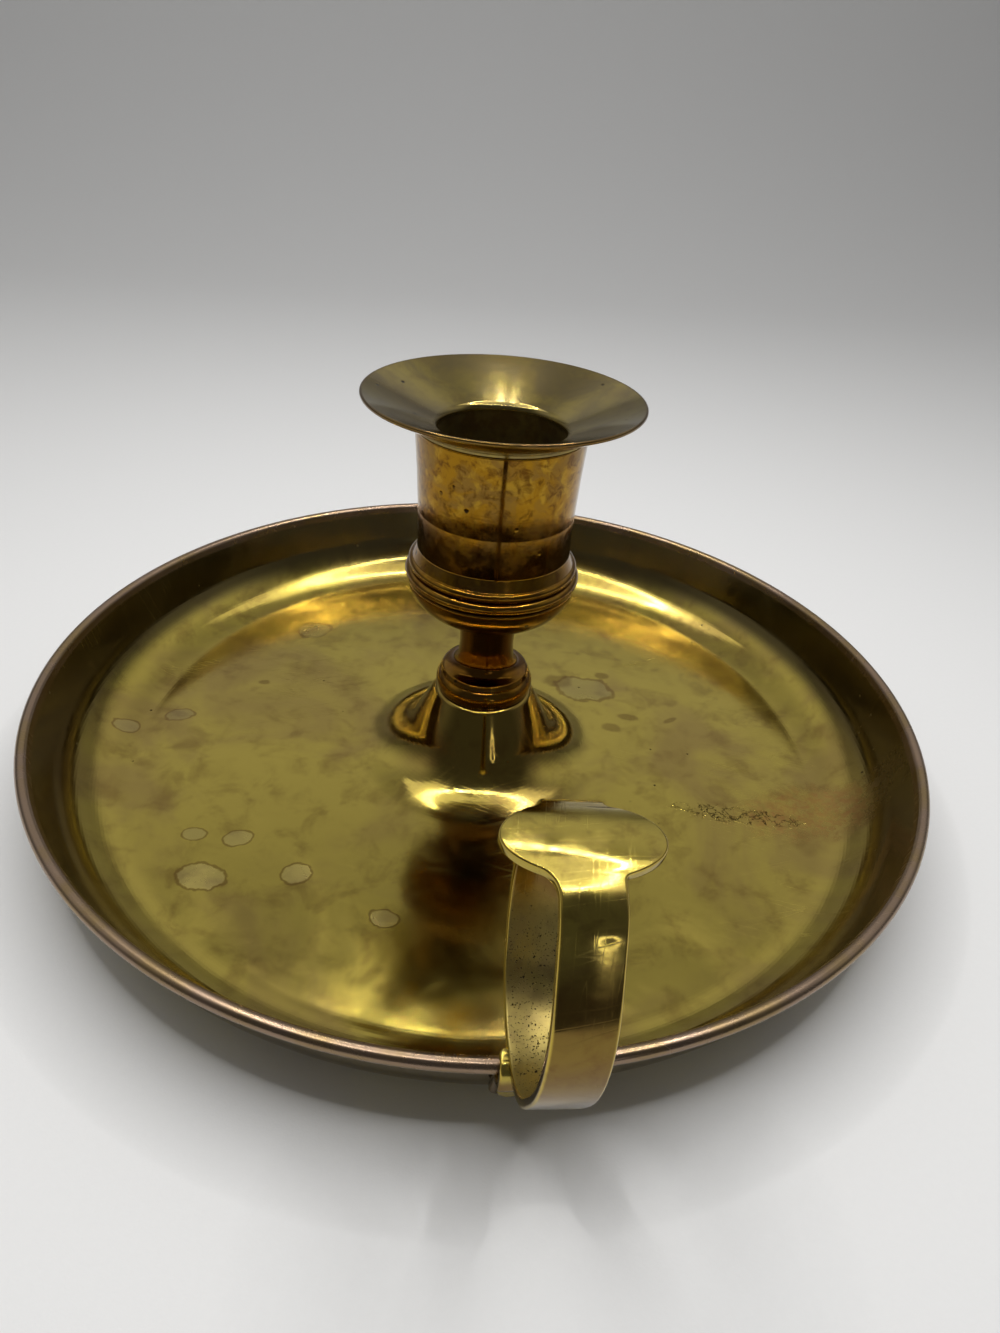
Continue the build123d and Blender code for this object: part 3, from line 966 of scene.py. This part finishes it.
class CHAMBERSTICK_OT_lug(ChamberstickOperator):
    """Bend the lug that goes over the rim and down the outside of the pan's wall"""

    bl_idname = "chamberstick.lug"
    bl_label = "Lug"

    def execute(self, context):
        pan, loop = settings().pan, settings().loop
        bead = pan.wire + pan.wire_gap + pan.sheet
        roll = bead - pan.sheet / 2
        roll_start = pi / 2 + pan.wall_slope
        away = pan.sheet / 2 + loop.lug_gap + loop.strap / 2

        def wall_point(down):
            out = roll * cos(roll_start) - down * cos(pan.wall_slope) + away * sin(pan.wall_slope)
            up = roll * sin(roll_start) - down * sin(pan.wall_slope) - away * cos(pan.wall_slope)
            return out, up - bead - loop.seat_gap

        out = bead + loop.lug_clear + loop.strap / 2
        thickness = loop.strap - loop.lug_thinner
        corners = [
            (-loop.inset, thickness / 2, 0),
            (out, thickness / 2, loop.lug_bend),
            (out, -loop.lug_drop, loop.lug_jog),
            (*wall_point(loop.lug_under), loop.lug_jog),
            (*wall_point(loop.lug_under + loop.lug_length), 0),
        ]
        path = resampled(rounded(*corners), 0.0002, closed=False)
        plain = loop.lug_width / 2
        sides = []
        for place in path:
            near = min((place - path[0]).length, (place - path[-1]).length)
            short = max(0, loop.lug_corner - near)
            half = plain - loop.lug_corner + sqrt(loop.lug_corner**2 - short**2)
            sides.append((half, half))
        mesh = strap_mesh("loop_lug", path, sides, loop, thickness, closed=False)
        piece("loop_lug", mesh, "root", "strap_brass", shared(strap_brass), "handle_loop")
        return {"FINISHED"}


class CHAMBERSTICK_OT_fasteners(ChamberstickOperator):
    """Give the rivets, rim wire, rod, washer and nut their finishes"""

    bl_idname = "chamberstick.fasteners"
    bl_label = "Rivets, wire and fasteners"

    def execute(self, context):
        brass = settings().brass
        finishes = {
            "handle_rivets": shared(rivet_brass),
            "rim_wire": old_iron(Finish("rim_iron"), brass, 0.2, 300),
            "tie_stud": old_iron(Finish("rod_iron"), brass, 0.3, 500),
            "stem_washer": old_iron(Finish("washer_iron"), brass, 0.4, 400),
            "stem_nut": old_iron(Finish("nut_iron"), brass, 0.3, 400),
        }
        for node, material in finishes.items():
            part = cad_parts[node]
            part.data.materials.clear()
            part.data.materials.append(material)
        return {"FINISHED"}


# The paper's outline as (depth, up, bend) corners, and half its width
paper_outline = ((-0.24, 0, 0), (0.75, 0, 0.3), (0.75, 0.42, 0))
paper_half = 1.6

# Middle of the large lamp, and its size across and along
ceiling_place = (0, 0.08, 0.9)
ceiling_size = (1.2, 0.62)

# Rings of small lamps: centre, place that they face, radius, number, share of the way to the next that each
# one fills, and width
ring_above = ((0, -0.01, 0.33), (0, -0.01, 0), 0.14, 40, 0.4, 0.006)
ring_in_front = ((0.08, -0.3, 0.08), (0, 0, 0.03), 0.016, 24, 1, 0.003)

# Upward parts of a direction between which the room's light rises and between which it fades
light_rises = (0.25, 0.6)
light_fades = (0.6, 0.8)

# Middle of the room's dark front, and how squarely a direction meets it where the dark starts and is full
dark_middle = (0, -1, 0.3)
dark_reach = (0.1, 0.6)

# The camera's place, and its turn to the right, its look down and its tilt
camera_place = (-0.01815, -0.15685, 0.12693)
camera_angles = (radians(7.766), radians(33.707), radians(4.859))


class CHAMBERSTICK_OT_stage(ChamberstickOperator):
    """Lay the floor and backdrop, hang the light and set up the camera"""

    bl_idname = "chamberstick.stage"
    bl_label = "Stage"

    def execute(self, context):
        stage = settings().stage
        self.sweep(stage)
        self.lamp("ceiling", Matrix.Translation(ceiling_place), *ceiling_size, stage.lamp)
        self.ring("ring", *ring_above, stage.ring)
        self.ring("front_ring", *ring_in_front, stage.glint)
        self.room(stage)
        self.camera(stage)
        return {"FINISHED"}

    def sweep(self, stage):
        """A sheet of paper that lies flat and curves up behind."""
        outline = rounded(*paper_outline)
        points = [(side * paper_half, place.x, place.y) for place in outline for side in (-1, 1)]
        faces = [(2 * i, 2 * i + 1, 2 * i + 3, 2 * i + 2) for i in range(len(outline) - 1)]
        mesh = bpy.data.meshes.new("paper_sweep")
        mesh.from_pydata(points, [], faces)
        mesh.polygons.foreach_set("use_smooth", [True] * len(faces))
        mesh.materials.append(paper_white(stage))
        added("paper_sweep", mesh)

    def lamp(self, name, matrix, across, along, brightness):
        """A flat lamp of even brightness that shines down its own Z axis."""
        data = bpy.data.lights.new(name, "AREA")
        data.shape = "RECTANGLE"
        data.size = across
        data.size_y = along
        data.energy = brightness * pi * across * along
        lamp = added(name, data)
        lamp.matrix_world = matrix
        lamp.visible_camera = False

    def ring(self, name, centre, target, radius, count, share, width, brightness):
        """A ring of small lamps, each as long as this share of the way to the next one."""
        facing = (Vector(target) - Vector(centre)).to_track_quat("-Z", "Y").to_matrix().to_4x4()
        long = 2 * radius * tan(pi / count) * share
        for index in range(count):
            turned = Matrix.Rotation(2 * pi * index / count, 4, "Z") @ Matrix.Translation((0, radius, 0))
            self.lamp(name, Matrix.Translation(centre) @ facing @ turned, long, width, brightness)

    def room(self, stage):
        """Dim light of the room: brightest half way up, dim along the floor, dark in front."""
        world = bpy.data.worlds.new("room")
        bpy.context.scene.world = world
        world.use_nodes = True
        tree = world.node_tree
        place = node(tree, "ShaderNodeTexCoord", output="Generated")
        height = node(tree, "ShaderNodeSeparateXYZ", {0: place}, "Z")
        feeds = {0: place, 1: Vector(dark_middle).normalized()}
        squarely = node(tree, "ShaderNodeVectorMath", feeds, "Value", operation="DOT_PRODUCT")
        behind = height.band(*light_rises, stage.low, stage.back) * height.band(*light_fades, 1, stage.top)
        background = tree.nodes["Background"]
        feed(background.inputs["Color"], (1, 1, 1))
        feed(background.inputs["Strength"], squarely.band(*dark_reach, behind, stage.front))

    def camera(self, stage):
        """The camera of the photograph: a little left of the loop, above it, looking down."""
        data = bpy.data.cameras.new("camera")
        data.lens = stage.lens
        data.sensor_width = 36
        data.clip_start = 0.005
        camera = added("camera", data)
        turned, down, tilt = camera_angles
        facing = Matrix.Rotation(-turned, 4, "Z") @ Matrix.Rotation(pi / 2 - down, 4, "X")
        camera.matrix_world = Matrix.Translation(camera_place) @ facing @ Matrix.Rotation(tilt, 4, "Z")
        bpy.context.scene.camera = camera
        bpy.context.scene.view_settings.view_transform = "Standard"


class CHAMBERSTICK_PT_panel(bpy.types.Panel):
    """Lists the steps that build the chamberstick"""

    bl_idname = "CHAMBERSTICK_PT_panel"
    bl_label = "Chamberstick"
    bl_space_type = "VIEW_3D"
    bl_region_type = "UI"
    bl_category = "Chamberstick"

    def draw(self, context):
        for step in steps:
            self.layout.operator(step.bl_idname)


groups = (PanSizes, StemSizes, CupSizes, NozzleSizes, LoopSizes, BrassColours, StageSettings, Chamberstick)
steps = (
    CHAMBERSTICK_OT_pan,
    CHAMBERSTICK_OT_knop,
    CHAMBERSTICK_OT_cup,
    CHAMBERSTICK_OT_nozzle,
    CHAMBERSTICK_OT_loop,
    CHAMBERSTICK_OT_lug,
    CHAMBERSTICK_OT_fasteners,
    CHAMBERSTICK_OT_stage,
)
kinds = (*groups, *steps, CHAMBERSTICK_PT_panel)


def register():
    for kind in kinds:
        bpy.utils.register_class(kind)
    bpy.types.Scene.chamberstick = PointerProperty(type=Chamberstick)


def unregister():
    del bpy.types.Scene.chamberstick
    for kind in reversed(kinds):
        bpy.utils.unregister_class(kind)


def main():
    """Build every piece and the stage."""
    register()
    for step in steps:
        family, action = step.bl_idname.split(".")
        getattr(getattr(bpy.ops, family), action)()
    bpy.context.view_layer.update()


if __name__ == "__main__":
    main()
